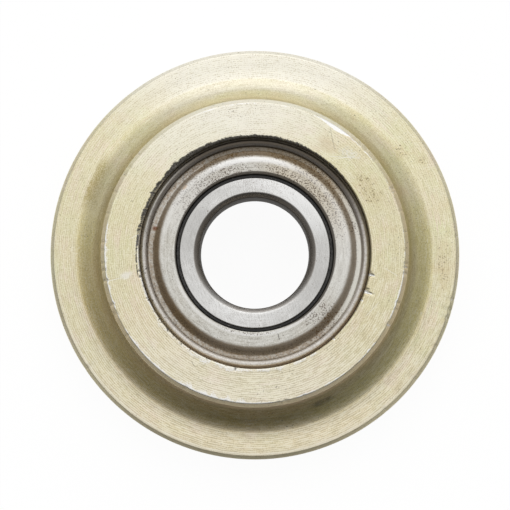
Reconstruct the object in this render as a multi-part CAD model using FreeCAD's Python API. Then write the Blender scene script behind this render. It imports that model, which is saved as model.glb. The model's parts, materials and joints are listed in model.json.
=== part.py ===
import FreeCAD, Part
import math
import os

# Smooth chain tensioner idler: a turned and plated steel wheel that runs on a shielded ball bearing.
# Millimetres. +Z is the spin axis and the hub face looks up. The origin lies on that axis, at the
# flat rear face on which the wheel lies.

# Turned wheel
WHEEL_DIAMETER = 94.0
RIM_WIDTH = 9.2
RIM_CHAMFER = 0.85
HUB_DIAMETER = 69.2
HUB_CHAMFER = 0.95
COVE_RADIUS = 8.5
COVE_END_SLOPE = 15.0  # degrees off flat, where the cove runs out on the flange
RECESS_DEPTH = 1.5  # from the hub face down to the bearing
RECESS_EDGE = 0.2
REAR_LIP = 2.5  # wall that the bearing is pressed against
REAR_OPENING = 46.0
REAR_OPENING_CHAMFER = 0.5
SEAT_FIT = 0.03  # radial room between the bearing and its seat

# Ball bearing of a standard size
BEARING_BORE = 25.0
BEARING_DIAMETER = 52.0
BEARING_WIDTH = 15.0
BORE_CHAMFER = 1.1
OUTER_CHAMFER = 0.75
RING_GAP = 4.76  # radial, between the shoulders of the two rings
SHOULDER_EDGE = 0.12
BALL_DIAMETER = 7.938
BALL_COUNT = 9
RACE_EASE = 0.159  # how much wider than a ball each groove is rounded, on the radius
BALL_PLAY = 0.03  # between a ball and the bottom of each groove

# Shields, stamped from sheet
SHIELD_SHEET = 0.4
SHIELD_SINK = 0.2  # below the faces of the rings
SHIELD_STEP = 0.7  # from the raised flat down to the rim
SHIELD_STEP_RUN = 1.45
SHIELD_RIM_RUN = 1.25
SHIELD_BEND = 0.6  # radius of its upper side
SHIELD_LIP = 0.9  # depth of the turned-in inner edge
SHIELD_GAP = 0.78  # between that edge and the inner ring
SHIELD_FIT = 0.02
OUTER_RING_WALL = 1.8  # from the shield's seat out to the bearing's outside
OUTER_RING_LEAD = 0.4  # chamfer at the mouth of that seat

# Cage, two pressed ribbons held together by rivets
CAGE_SHEET = 0.8
CAGE_WIDTH = 3.3
POCKET_PLAY = 0.15
RIVET_SHANK = 1.4
RIVET_HEAD = 2.1
RIVET_HEAD_HEIGHT = 0.5
RIVET_FIT = 0.02

# Heights
bearing_rear = REAR_LIP
bearing_front = bearing_rear + BEARING_WIDTH
bearing_middle = bearing_rear + BEARING_WIDTH / 2
hub_face = bearing_front + RECESS_DEPTH

# Radii
wheel_radius = WHEEL_DIAMETER / 2
hub_radius = HUB_DIAMETER / 2
opening_radius = REAR_OPENING / 2
bore_radius = BEARING_BORE / 2
bearing_radius = BEARING_DIAMETER / 2
pitch_radius = (bore_radius + bearing_radius) / 2
ball_radius = BALL_DIAMETER / 2
race_radius = ball_radius + RACE_EASE
inner_shoulder = pitch_radius - RING_GAP / 2
outer_shoulder = pitch_radius + RING_GAP / 2
shield_seat = bearing_radius - OUTER_RING_WALL
shield_depth = SHIELD_SINK + SHIELD_STEP + SHIELD_SHEET
pocket_radius = ball_radius + POCKET_PLAY
ball_turn = 360 / BALL_COUNT

AXIS_POINT = FreeCAD.Vector(0, 0, 0)
AXIS = FreeCAD.Vector(0, 0, 1)
SAME_SPOT = 1e-6  # corners closer than this are one corner, as where the cove fills its wall


def spot(radius, height):
    return FreeCAD.Vector(radius, 0, height)


def turned(outline):
    """Solid of revolution. A step of the outline is a corner, or an arc's middle and its end."""
    edges = []
    here = spot(*outline[0])
    for step in outline[1:] + outline[:1]:
        if isinstance(step[0], tuple):
            middle, there = (spot(*point) for point in step)
            edges.append(Part.Arc(here, middle, there).toShape())
        else:
            there = spot(*step)
            if there.isEqual(here, SAME_SPOT):
                continue
            edges.append(Part.LineSegment(here, there).toShape())
        here = there
    return Part.Face(Part.Wire(edges)).revolve(AXIS_POINT, AXIS, 360)


def bent_line(points, radius):
    """Wire of straight runs, with the same bend radius at every corner."""
    edges = []
    start = points[0]
    for corner, beyond in zip(points[1:-1], points[2:]):
        back = (start - corner).normalize()
        onward = (beyond - corner).normalize()
        half_angle = back.getAngle(onward) / 2
        reach = radius / math.tan(half_angle)
        inward = (back + onward).normalize()
        centre = corner + inward * (radius / math.sin(half_angle))
        bend_start = corner + back * reach
        bend_end = corner + onward * reach
        edges.append(Part.LineSegment(start, bend_start).toShape())
        edges.append(Part.Arc(bend_start, centre - inward * radius, bend_end).toShape())
        start = bend_end
    edges.append(Part.LineSegment(start, points[-1]).toShape())
    return Part.Wire(edges)


def mirrored_to_rear(shape):
    return shape.mirror(FreeCAD.Vector(0, 0, bearing_middle), AXIS)


def around(shape, turn):
    copy = shape.copy()
    copy.rotate(AXIS_POINT, AXIS, turn)
    return copy


def idler_wheel():
    """One turned piece: rim, cove, hub, bearing seat and the lip behind the bearing."""
    slope = math.radians(COVE_END_SLOPE)
    room = hub_face - HUB_CHAMFER - RIM_WIDTH
    cove = min(COVE_RADIUS, room / math.cos(slope))
    centre = (hub_radius + cove, RIM_WIDTH + cove * math.cos(slope))
    half_way = (math.pi / 2 - slope) / 2
    cove_end = (centre[0] - cove * math.sin(slope), RIM_WIDTH)
    cove_middle = (centre[0] - cove * math.cos(half_way), centre[1] - cove * math.sin(half_way))
    cove_top = (hub_radius, centre[1])
    seat = bearing_radius + SEAT_FIT
    return turned([
        (opening_radius + REAR_OPENING_CHAMFER, 0),
        (wheel_radius - RIM_CHAMFER, 0),
        (wheel_radius, RIM_CHAMFER),
        (wheel_radius, RIM_WIDTH - RIM_CHAMFER),
        (wheel_radius - RIM_CHAMFER, RIM_WIDTH),
        cove_end,
        (cove_middle, cove_top),
        (hub_radius, hub_face - HUB_CHAMFER),
        (hub_radius - HUB_CHAMFER, hub_face),
        (seat + RECESS_EDGE, hub_face),
        (seat, hub_face - RECESS_EDGE),
        (seat, bearing_rear),
        (opening_radius, bearing_rear),
        (opening_radius, REAR_OPENING_CHAMFER),
    ])


def groove_half_width(shoulder, groove_centre):
    return math.sqrt(race_radius ** 2 - (shoulder - groove_centre) ** 2)


def bearing_outer_ring():
    """Ring with a round race inside, and a stepped seat for a shield at each face."""
    bottom = pitch_radius + ball_radius + BALL_PLAY
    half = groove_half_width(outer_shoulder, bottom - race_radius)
    return turned([
        (bearing_radius, bearing_rear + OUTER_CHAMFER),
        (bearing_radius, bearing_front - OUTER_CHAMFER),
        (bearing_radius - OUTER_CHAMFER, bearing_front),
        (shield_seat + OUTER_RING_LEAD, bearing_front),
        (shield_seat, bearing_front - OUTER_RING_LEAD),
        (shield_seat, bearing_front - shield_depth),
        (outer_shoulder, bearing_front - shield_depth),
        (outer_shoulder, bearing_middle + half),
        ((bottom, bearing_middle), (outer_shoulder, bearing_middle - half)),
        (outer_shoulder, bearing_rear + shield_depth),
        (shield_seat, bearing_rear + shield_depth),
        (shield_seat, bearing_rear + OUTER_RING_LEAD),
        (shield_seat + OUTER_RING_LEAD, bearing_rear),
        (bearing_radius - OUTER_CHAMFER, bearing_rear),
    ])


def bearing_inner_ring():
    """Ring with a round race outside and chamfered ends to its bore."""
    bottom = pitch_radius - ball_radius - BALL_PLAY
    half = groove_half_width(inner_shoulder, bottom + race_radius)
    return turned([
        (bore_radius, bearing_rear + BORE_CHAMFER),
        (bore_radius + BORE_CHAMFER, bearing_rear),
        (inner_shoulder - SHOULDER_EDGE, bearing_rear),
        (inner_shoulder, bearing_rear + SHOULDER_EDGE),
        (inner_shoulder, bearing_middle - half),
        ((bottom, bearing_middle), (inner_shoulder, bearing_middle + half)),
        (inner_shoulder, bearing_front - SHOULDER_EDGE),
        (inner_shoulder - SHOULDER_EDGE, bearing_front),
        (bore_radius + BORE_CHAMFER, bearing_front),
        (bore_radius, bearing_front - BORE_CHAMFER),
    ])


def front_shield():
    """Dished washer: turned-in inner edge, raised flat, a step down and a rim in its seat."""
    flat = bearing_front - SHIELD_SINK
    rim_edge = shield_seat - SHIELD_FIT
    step_foot = rim_edge - SHIELD_RIM_RUN
    step_head = step_foot - SHIELD_STEP_RUN
    lip = inner_shoulder + SHIELD_GAP
    upper_line = bent_line([
        spot(lip, flat - SHIELD_LIP),
        spot(lip, flat),
        spot(step_head, flat),
        spot(step_foot, flat - SHIELD_STEP),
        spot(rim_edge, flat - SHIELD_STEP),
    ], SHIELD_BEND)
    section = upper_line.makeOffset2D(-SHIELD_SHEET, fill=True, openResult=True)
    return section.revolve(AXIS_POINT, AXIS, 360)


def ball(index):
    sphere = Part.makeSphere(ball_radius)
    sphere.translate(FreeCAD.Vector(pitch_radius, 0, bearing_middle))
    return around(sphere, index * ball_turn)


def cage_front_half():
    """Pressed ribbon: a domed pocket over each ball and a flat land between two pockets."""
    inner = pitch_radius - CAGE_WIDTH / 2
    outer = pitch_radius + CAGE_WIDTH / 2
    dome_radius = pocket_radius + CAGE_SHEET
    floor = FreeCAD.Vector(0, 0, bearing_middle)
    centre = FreeCAD.Vector(pitch_radius, 0, bearing_middle)
    land = Part.makeCylinder(outer, CAGE_SHEET, floor)
    ribbon = Part.makeCylinder(outer, dome_radius, floor)
    ribbon = ribbon.cut(Part.makeCylinder(inner, dome_radius, floor))
    turns = [index * ball_turn for index in range(BALL_COUNT)]
    dome = Part.makeSphere(dome_radius, centre)
    pocket = Part.makeSphere(pocket_radius, centre)
    hole = Part.makeCylinder(RIVET_SHANK / 2 + RIVET_FIT, CAGE_SHEET, centre)
    pressed = ribbon.common(land.multiFuse([around(dome, turn) for turn in turns]))
    pressed = pressed.cut([around(pocket, turn) for turn in turns])
    return pressed.cut([around(hole, turn + ball_turn / 2) for turn in turns])


def cage_rivets():
    """Short rivets with a domed head at both ends, one between each two balls."""
    shank = RIVET_SHANK / 2
    head = RIVET_HEAD / 2
    dome = (head ** 2 + RIVET_HEAD_HEIGHT ** 2) / (2 * RIVET_HEAD_HEIGHT)
    half_angle = math.asin(head / dome) / 2
    across = dome * math.sin(half_angle)
    drop = dome * (1 - math.cos(half_angle))
    top = CAGE_SHEET + RIVET_HEAD_HEIGHT
    rivet = turned([
        (0, -top),
        ((across, drop - top), (head, -CAGE_SHEET)),
        (shank, -CAGE_SHEET),
        (shank, CAGE_SHEET),
        (head, CAGE_SHEET),
        ((across, top - drop), (0, top)),
    ])
    rivet.translate(FreeCAD.Vector(pitch_radius, 0, bearing_middle))
    return Part.makeCompound([around(rivet, (index + 0.5) * ball_turn) for index in range(BALL_COUNT)])


def build():
    shield = front_shield()
    cage_half = cage_front_half()
    nodes = {
        "idler_wheel": idler_wheel(),
        "bearing_outer_ring": bearing_outer_ring(),
        "bearing_inner_ring": bearing_inner_ring(),
        "front_shield": shield,
        "rear_shield": mirrored_to_rear(shield),
        "cage_front_half": cage_half,
        "cage_rear_half": mirrored_to_rear(cage_half),
        "cage_rivets": cage_rivets(),
    }
    for index in range(BALL_COUNT):
        nodes[f"ball_{index + 1}"] = ball(index)
    return nodes


os.makedirs("parts", exist_ok=True)
for name, shape in build().items():
    shape.exportStep(f"parts/{name}.step")
    print(name, shape.isValid(), len(shape.Solids), round(shape.Volume, 2))
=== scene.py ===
import json
import math

import bpy
import numpy as np
from mathutils import Matrix, Vector


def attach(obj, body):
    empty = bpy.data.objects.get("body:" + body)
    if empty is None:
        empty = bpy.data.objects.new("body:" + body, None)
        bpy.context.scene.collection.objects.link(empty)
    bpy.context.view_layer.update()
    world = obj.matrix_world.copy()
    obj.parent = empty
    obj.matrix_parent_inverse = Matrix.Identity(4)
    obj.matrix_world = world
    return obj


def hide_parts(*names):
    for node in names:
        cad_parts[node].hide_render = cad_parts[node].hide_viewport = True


# Used chain tensioner idler: a turned, straw-plated steel wheel on a shielded ball bearing.
# Lengths are in millimetres here and become metres in the meshes. +Z is the spin axis, and an
# angle round it is in degrees from +X towards +Y.

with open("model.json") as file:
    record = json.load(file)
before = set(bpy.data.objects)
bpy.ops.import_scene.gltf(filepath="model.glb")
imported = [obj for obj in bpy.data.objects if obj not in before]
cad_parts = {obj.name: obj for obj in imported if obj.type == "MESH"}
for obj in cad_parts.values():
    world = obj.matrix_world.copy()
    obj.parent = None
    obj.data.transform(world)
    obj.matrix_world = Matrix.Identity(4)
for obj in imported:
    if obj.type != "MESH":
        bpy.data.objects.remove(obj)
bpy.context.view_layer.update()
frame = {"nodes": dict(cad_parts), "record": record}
nodes = frame["nodes"]
MM = 0.001
FULL_TURN = 2 * math.pi

# Wheel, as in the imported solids
WHEEL_R = 47.0
RIM_WIDTH = 9.2
RIM_CHAMFER = 0.85
HUB_R = 34.6
HUB_CHAMFER = 0.95
COVE_R = 8.5
COVE_END_SLOPE = math.radians(15.0)
HUB_FACE = 19.0
SEAT_R = 26.03
RECESS_EDGE = 0.2
REAR_LIP = 2.5
OPENING_R = 23.0
OPENING_CHAMFER = 0.5

# Bearing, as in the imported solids
BORE_R = 12.5
BEARING_R = 26.0
REAR = 2.5
FRONT = 17.5
MIDDLE = 10.0
BORE_CHAMFER = 1.1
OUTER_CHAMFER = 0.75
INNER_SHOULDER = 16.87
SHOULDER_EDGE = 0.12
OUTER_SHOULDER = 21.63
PITCH_R = 19.25
BALL_R = 3.969
RACE_R = 4.128
BALL_PLAY = 0.03
SHIELD_SEAT = 24.2
SHIELD_DEPTH = 1.3
RING_LEAD = 0.4
SHIELD_SHEET = 0.4
SHIELD_FLAT = 17.3
SHIELD_RIM = 16.6
SHIELD_LIP = 0.9
SHIELD_LIP_R = 17.65
SHIELD_STEP_HEAD = 21.48
SHIELD_STEP_FOOT = 22.93
SHIELD_EDGE_R = 24.18

# Fineness of the meshes: segments in one turn, points on an arc, longest run of an outline
WHEEL_SEGMENTS = 720
RING_SEGMENTS = 360
BEAD_SEGMENTS = 180
COVE_POINTS = 26
RACE_POINTS = 24
RUN_AT_CHIPS = 0.11
RUN_AT_HUB_EDGE = 0.2
RUN_IN_RECESS = 0.25
RUN_ON_HUB = 0.7
RUN_ELSEWHERE = 3.0
RUN_BEHIND = 6.0
RUN_ON_SHIELD = 0.5
CHIP_ZONE = 1.5
HUB_EDGE_ZONE = 2.0
EASED_SHARE = 0.45
SAME_SPOT = 1e-6


# Outlines

def arc(centre, radius, start, end, count):
    """Corners without easing on an arc in the radius-height plane, from one angle to another."""
    turn = np.radians(np.linspace(start, end, count))
    return [(centre[0] + radius * math.cos(a), centre[1] + radius * math.sin(a), 0) for a in turn]


def eased(corners, steps=4):
    """Closed outline with each corner (radius, height, easing) turned into a small curve."""
    points = []
    for i, (r, z, ease) in enumerate(corners):
        here = np.array((r, z))
        back = np.array(corners[i - 1][:2]) - here
        onward = np.array(corners[(i + 1) % len(corners)][:2]) - here
        if not ease:
            points.append(tuple(here))
            continue
        reach = min(ease, EASED_SHARE * np.linalg.norm(back), EASED_SHARE * np.linalg.norm(onward))
        start = here + reach * back / np.linalg.norm(back)
        end = here + reach * onward / np.linalg.norm(onward)
        for t in np.linspace(0, 1, steps + 1):
            points.append(tuple((1 - t) ** 2 * start + 2 * t * (1 - t) * here + t ** 2 * end))
    return points


def spread(points, gap):
    """The same outline with no run longer than gap allows at its middle."""
    full = []
    for i, (r, z) in enumerate(points):
        here = np.array((r, z))
        there = np.array(points[(i + 1) % len(points)])
        parts = max(1, math.ceil(np.linalg.norm(there - here) / gap((here + there) / 2)))
        full += [tuple(here + (there - here) * k / parts) for k in range(parts)]
    return full


def mirrored(outline):
    """The same outline at the other face of the bearing."""
    return [(r, 2 * MIDDLE - z) for r, z in outline][::-1]


def wheel_gap(at):
    """Longest run of the wheel's outline: short where edges are worn, long where nothing is."""
    r, z = at
    if z > HUB_FACE - 0.4 and r < SEAT_R + CHIP_ZONE:
        return RUN_AT_CHIPS
    if z > HUB_FACE - 1.0 and r > HUB_R - HUB_EDGE_ZONE:
        return RUN_AT_HUB_EDGE
    if z > FRONT - 0.4 and r < SEAT_R + 0.1:
        return RUN_IN_RECESS
    if z > HUB_FACE - 0.1:
        return RUN_ON_HUB
    return RUN_ELSEWHERE if z > 0.1 else RUN_BEHIND


def wheel_outline():
    """From the rear opening out to the rim, over the cove and hub, and down the recess."""
    slope = math.degrees(COVE_END_SLOPE)
    cove = (HUB_R + COVE_R, RIM_WIDTH + COVE_R * math.cos(COVE_END_SLOPE))
    corners = [
        (OPENING_R + OPENING_CHAMFER, 0, 0.15),
        (WHEEL_R - RIM_CHAMFER, 0, 0.2),
        (WHEEL_R, RIM_CHAMFER, 0.2),
        (WHEEL_R, RIM_WIDTH - RIM_CHAMFER, 0.2),
        (WHEEL_R - RIM_CHAMFER, RIM_WIDTH, 0.2),
        *arc(cove, COVE_R, 270 - slope, 180, COVE_POINTS),
        (HUB_R, HUB_FACE - HUB_CHAMFER, 0.15),
        (HUB_R - HUB_CHAMFER, HUB_FACE, 0.12),
        (HUB_R - HUB_EDGE_ZONE, HUB_FACE, 0),
        (SEAT_R + CHIP_ZONE, HUB_FACE, 0),
        (SEAT_R + RECESS_EDGE, HUB_FACE, 0.1),
        (SEAT_R, HUB_FACE - RECESS_EDGE, 0.1),
        (SEAT_R, REAR_LIP, 0),
        (OPENING_R, REAR_LIP, 0.1),
        (OPENING_R, OPENING_CHAMFER, 0.15),
    ]
    return spread(eased(corners), wheel_gap)


def outer_ring_outline():
    centre = PITCH_R + BALL_R + BALL_PLAY - RACE_R
    half = math.degrees(math.acos((OUTER_SHOULDER - centre) / RACE_R))
    return eased([
        (BEARING_R, REAR + OUTER_CHAMFER, 0.3),
        (BEARING_R, FRONT - OUTER_CHAMFER, 0.3),
        (BEARING_R - OUTER_CHAMFER, FRONT, 0.35),
        (SHIELD_SEAT + RING_LEAD, FRONT, 0.25),
        (SHIELD_SEAT, FRONT - RING_LEAD, 0.1),
        (SHIELD_SEAT, FRONT - SHIELD_DEPTH, 0),
        (OUTER_SHOULDER, FRONT - SHIELD_DEPTH, 0.1),
        *arc((centre, MIDDLE), RACE_R, half, -half, RACE_POINTS),
        (OUTER_SHOULDER, REAR + SHIELD_DEPTH, 0.1),
        (SHIELD_SEAT, REAR + SHIELD_DEPTH, 0),
        (SHIELD_SEAT, REAR + RING_LEAD, 0.1),
        (SHIELD_SEAT + RING_LEAD, REAR, 0.25),
        (BEARING_R - OUTER_CHAMFER, REAR, 0.35),
    ])


def inner_ring_outline():
    centre = PITCH_R - BALL_R - BALL_PLAY + RACE_R
    half = math.degrees(math.acos((centre - INNER_SHOULDER) / RACE_R))
    return eased([
        (BORE_R, REAR + BORE_CHAMFER, 0.3),
        (BORE_R + BORE_CHAMFER, REAR, 0.3),
        (INNER_SHOULDER - SHOULDER_EDGE, REAR, 0.08),
        (INNER_SHOULDER, REAR + SHOULDER_EDGE, 0.08),
        *arc((centre, MIDDLE), RACE_R, 180 + half, 180 - half, RACE_POINTS),
        (INNER_SHOULDER, FRONT - SHOULDER_EDGE, 0.08),
        (INNER_SHOULDER - SHOULDER_EDGE, FRONT, 0.08),
        (BORE_R + BORE_CHAMFER, FRONT, 0.3),
        (BORE_R, FRONT - BORE_CHAMFER, 0.3),
    ])


def shield_outline():
    """Pressed sheet of even thickness at the front, from the line of its upper side."""
    edge = (SHIELD_EDGE_R, SHIELD_RIM)
    upper = [
        (SHIELD_LIP_R, SHIELD_FLAT - SHIELD_LIP, 0),
        (SHIELD_LIP_R, SHIELD_FLAT, 0.55),
        (SHIELD_STEP_HEAD, SHIELD_FLAT, 0.95),
        (SHIELD_STEP_FOOT, SHIELD_RIM, 0.55),
        (*edge, 0),
    ]
    line = spread(eased(upper, 8), lambda at: RUN_ON_SHIELD)
    # the line comes back closed, so its run from the edge to the lip is cut off
    end = max(i for i, point in enumerate(line) if math.dist(point, edge) < SAME_SPOT)
    path = np.array(line[:end + 1])
    along = np.gradient(path, axis=0)
    along /= np.linalg.norm(along, axis=1)[:, None]
    under = path + SHIELD_SHEET * np.stack([along[:, 1], -along[:, 0]], 1)
    return under.tolist() + path[::-1].tolist()


def grease_outline():
    """Bead of old grease at the rear shield's lip, almost up to the inner ring."""
    return eased([
        (INNER_SHOULDER + 0.06, REAR + 0.95, 0.1),
        (SHIELD_LIP_R - 0.05, REAR + 0.9, 0.1),
        (SHIELD_LIP_R - 0.02, REAR + 1.15, 0.03),
        (SHIELD_LIP_R + 0.3, REAR + 1.2, 0.1),
        (SHIELD_LIP_R + 0.2, REAR + 1.6, 0.2),
        (INNER_SHOULDER + 0.06, REAR + 1.6, 0.2),
    ], 5)


# Wear of the wheel

# Nicks: (angle, length along the edge, depth, how dark)
HUB_EDGE_NICKS = [
    (176.0, 0.25, 0.30, 0.8), (179.2, 0.2, 0.2, 0.7), (184.0, 0.2, 0.25, 0.6), (186.6, 0.3, 0.35, 0.9),
    (190.6, 0.3, 0.55, 0.1), (200.0, 0.3, 0.42, 0.3), (203.8, 0.6, 0.25, 0.6), (213.0, 0.2, 0.2, 0.4),
    (139.6, 0.2, 0.2, 0.7), (145.7, 0.25, 0.25, 0.8), (149.0, 0.2, 0.2, 0.6), (156.4, 0.25, 0.25, 0.7),
    (165.0, 0.2, 0.2, 0.4), (48.6, 0.5, 0.25, 0.5), (45.9, 0.2, 0.2, 0.2), (42.8, 0.5, 0.25, 0.4),
    (37.6, 0.3, 0.25, 0.4), (25.1, 0.3, 0.50, 0.8), (23.6, 0.25, 0.3, 0.1), (16.0, 0.2, 0.2, 0.4),
    (8.0, 0.2, 0.15, 0.6), (-4.2, 0.25, 0.50, 0.3), (-5.6, 0.25, 0.45, 0.0), (-8.0, 0.3, 0.40, 0.1),
    (-19.3, 0.25, 0.35, 0.6), (-22.0, 0.2, 0.2, 0.1), (-28.5, 0.6, 0.25, 0.0), (-71.0, 0.3, 0.25, 0.5),
    (-78.1, 0.5, 0.3, 0.3), (-81.0, 0.3, 0.2, 0.2), (-101.0, 0.3, 0.2, 0.7), (-117.0, 0.5, 0.2, 0.3),
]
RECESS_NICKS = [
    (-9.4, 0.2, 0.6, 0.7), (-10.9, 0.32, 1.4, 0.0), (-12.6, 0.15, 0.4, 0.8), (-18.2, 0.16, 1.5, 0.6),
    (-19.5, 0.30, 2.1, 0.0), (-24.0, 0.25, 0.5, 0.0), (-30.0, 0.2, 0.3, 0.4), (-47.6, 0.25, 0.5, 0.0),
    (-99.4, 0.2, 0.9, 0.9), (-104.0, 0.3, 0.4, 0.5), (-143.0, 0.3, 0.45, 0.5), (-149.5, 0.25, 0.4, 0.6),
    (-156.8, 0.3, 0.5, 0.7), (-163.0, 0.3, 0.4, 0.6), (-168.0, 0.35, 0.6, 0.5), (-171.0, 0.3, 0.5, 0.9),
]
RIM_NICKS = [
    (-13.0, 0.4, 0.30, 0.2), (-16.0, 0.4, 0.40, 0.5), (-18.4, 0.35, 0.35, 0.2), (-27.0, 0.3, 0.2, 0.4),
    (-38.0, 0.4, 0.18, 0.3), (214.0, 0.4, 0.25, 0.7), (127.0, 0.4, 0.15, 0.3), (62.0, 0.3, 0.15, 0.2),
    (310.0, 0.4, 0.15, 0.3), (5.0, 0.3, 0.15, 0.3),
]
# How far chips reach out from the recess: (angle, reach)
CHIP_REACH = [
    (25, 0), (35, 0.11), (62, 0.15), (68, 0.28), (76, 0.24), (85, 0.32), (105, 0.40), (120, 0.46),
    (128, 0.74), (136, 0.55), (144, 0.74), (152, 0.62), (160, 0.48), (180, 0.5), (190, 0.3), (197, 0),
]
CHIP_SLOPE = 0.95
CHIP_DEPTH = 0.6
BURR_HEIGHT = 0.06
BURR_LEAN = 0.15
# How far a rubbed flat reaches in from the hub's edge: (angle, reach)
FLAT_REACH = [(49.5, 0.0), (52.5, 0.75), (57.0, 1.25), (62.0, 0.7), (67.5, 0.0)]
FLAT_SLOPE = 0.13


def ridge(value, middle, half, top):
    """Falls straight from top at the middle, by 1 for each half width, and is kept from 0 to 1."""
    return np.clip(top - np.abs(value - middle) / half, 0, 1)


class Wear:
    """Points of the wheel while they are worn, and how bare or how black each of them is."""

    def __init__(self, turn, r, z):
        self.turn = turn
        self.degrees = np.degrees(turn)
        self.r = r
        self.z = z
        self.r0 = r.copy()
        self.z0 = z.copy()
        self.out = self.r0 - SEAT_R
        self.at_recess = (self.z0 > HUB_FACE - 0.6) & (self.r0 < SEAT_R + 2.2)
        self.bare = np.zeros_like(r)
        self.grime = np.zeros_like(r)

    def noise(self, knots, seed):
        """Smooth values from 0 to 1 that close on themselves, with so many knots in one turn."""
        values = np.random.default_rng(seed).random(knots)
        at = (self.turn / FULL_TURN) % 1.0 * knots
        low = np.floor(at).astype(int) % knots
        t = at - np.floor(at)
        t = t * t * (3 - 2 * t)
        return values[low] * (1 - t) + values[(low + 1) % knots] * t

    def off(self, degrees):
        """Turn away from one angle, up to half a turn each way."""
        return (self.turn - math.radians(degrees) + math.pi) % FULL_TURN - math.pi

    def window(self, start, end, soft):
        """1 between two angles, falling to 0 over soft degrees beyond them."""
        beyond = np.abs(self.off((start + end) / 2)) - math.radians((end - start) / 2)
        return np.clip(1 - beyond / math.radians(soft), 0, 1)

    def bell(self, degrees, radius, width):
        """Bell round one angle, width in millimetres along the circle."""
        return np.exp(-(self.off(degrees) * radius / width) ** 2)

    def lay_bare(self, share):
        self.bare = np.maximum(self.bare, share)

    def blacken(self, share):
        self.grime = np.maximum(self.grime, share)

    def nick(self, nicks, radius, on_edge, cut, shown, black, bright):
        """Small dents along an edge; each shows black or bright over a share of its length."""
        for at, length, depth, dark in nicks:
            dent = cut * depth * self.bell(at, radius, length) * on_edge
            self.r = self.r - dent
            self.z = self.z - dent
            mark = self.bell(at, radius, length * shown) * on_edge
            self.blacken(black * mark * dark)
            self.lay_bare(bright * mark * (1 - dark))


def chip_recess(w):
    """Chips on one side of the recess edge, black and then mottled, and nicks elsewhere."""
    reach = np.interp(w.degrees, *zip(*CHIP_REACH))
    jag = 0.45 + 0.75 * w.noise(360, 1) * (0.5 + w.noise(70, 2)) + 0.5 * w.noise(130, 3)
    jag = jag * reach * (1 - 0.8 * w.window(178, 200, 8)) + 0.1 * w.noise(340, 5)
    for at, length, depth, _ in RECESS_NICKS:
        jag = np.maximum(jag, depth * w.bell(at, SEAT_R, length))
    inside = jag - w.out
    into = np.where(w.at_recess, np.clip(inside, 0, None), 0)
    w.z = w.z - np.clip(into * CHIP_SLOPE, 0, CHIP_DEPTH)
    chip = np.where(w.at_recess, np.clip(0.5 + inside, 0, 1), 0) * np.clip(reach / 0.15, 0, 1)
    mottled = w.window(173, 189, 6) * w.at_recess
    bevel = ridge(w.out, 0.08, 0.2, 1.4) * w.window(142, 172, 8)
    w.blacken(chip * (1 - mottled) * (1 - 0.52 * bevel))
    strip = ridge(w.out, 0.36 + 0.24 * w.noise(60, 4), 0.10 + 0.22 * w.noise(90, 19), 1.5)
    blot = np.clip(2.8 * w.noise(200, 13) - 0.15, 0, 1)
    w.blacken(0.85 * mottled * strip * blot)
    w.lay_bare(0.62 * w.window(172, 208, 12) * w.at_recess * ridge(w.out, 0.12, 0.2, 1.5))
    thread = w.window(172, 204, 8) * w.at_recess * ridge(w.out, 0.70, 0.1, 1.3)
    w.lay_bare(0.7 * thread * w.noise(90, 18))
    w.lay_bare(0.45 * bevel * w.at_recess)
    for at, length, _, dark in RECESS_NICKS:
        mark = w.bell(at, SEAT_R, length * 1.3) * np.clip(into / 0.1, 0, 1)
        w.blacken(0.75 * mark * dark)
        w.lay_bare(mark * (1 - dark))


def raise_burr(w):
    """A ragged burr stands up along the other side and leans into the recess."""
    burr = np.clip(w.window(216, 290, 14) + 0.5 * w.window(290, 335, 10), 0, 1)
    burr = burr * (0.25 + 0.75 * w.noise(120, 6))
    width = 0.25 + 2.0 * w.noise(250, 14) * w.noise(34, 15) * w.window(208, 284, 16)
    burr = burr * ridge(w.out, 0.25, width, 1.1) * (w.z0 > HUB_FACE - 0.12)
    w.z = w.z + BURR_HEIGHT * burr
    lean = w.window(182, 322, 16) + 0.35 * w.window(196, 250, 10)
    lean = lean * np.clip((w.z0 - HUB_FACE + 0.55) / 0.35, 0, 1) * (w.r0 < SEAT_R + 0.3)
    w.r = w.r - BURR_LEAN * lean
    w.lay_bare(np.clip(0.85 * burr, 0, 0.49 - 0.07 * w.window(208, 236, 10)))
    pits = np.clip(w.noise(300, 17) * 2.6 - 1.35, 0, 1) * w.window(204, 244, 12)
    w.blacken(pits * ridge(w.out, 0.16, 0.22, 1.3) * w.at_recess * 0.62)


def wear_hub_edge(w):
    """The hub's outer edge is nicked here and there, and rubbed bright all round."""
    half = 0.5 * HUB_CHAMFER
    on_edge = ridge(np.hypot(w.r0 - (HUB_R - half), w.z0 - (HUB_FACE - half)), 0, 0.7, 1.5)
    w.nick(HUB_EDGE_NICKS, HUB_R, on_edge, cut=0.55, shown=0.9, black=0.62, bright=0.55)
    dulled = 0.06 * w.noise(150, 7) * w.noise(33, 8) * on_edge
    w.r = w.r - dulled
    w.z = w.z - dulled
    sides = w.window(172, 258, 14) + 0.55 * w.window(258, 345, 16) + 0.25 * w.window(0, 120, 10)
    width = (0.16 + 2.2 * w.noise(240, 9) * w.noise(52, 16)) * (sides + 0.08)
    inward = HUB_R - HUB_CHAMFER - w.r0
    line = np.clip(1.1 - inward / np.maximum(width, 0.02), 0, 1)
    line = line * (w.z0 > HUB_FACE - 0.05) * (inward > -0.04)
    w.lay_bare(0.60 * line * np.clip(width / 0.4, 0, 1))


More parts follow.
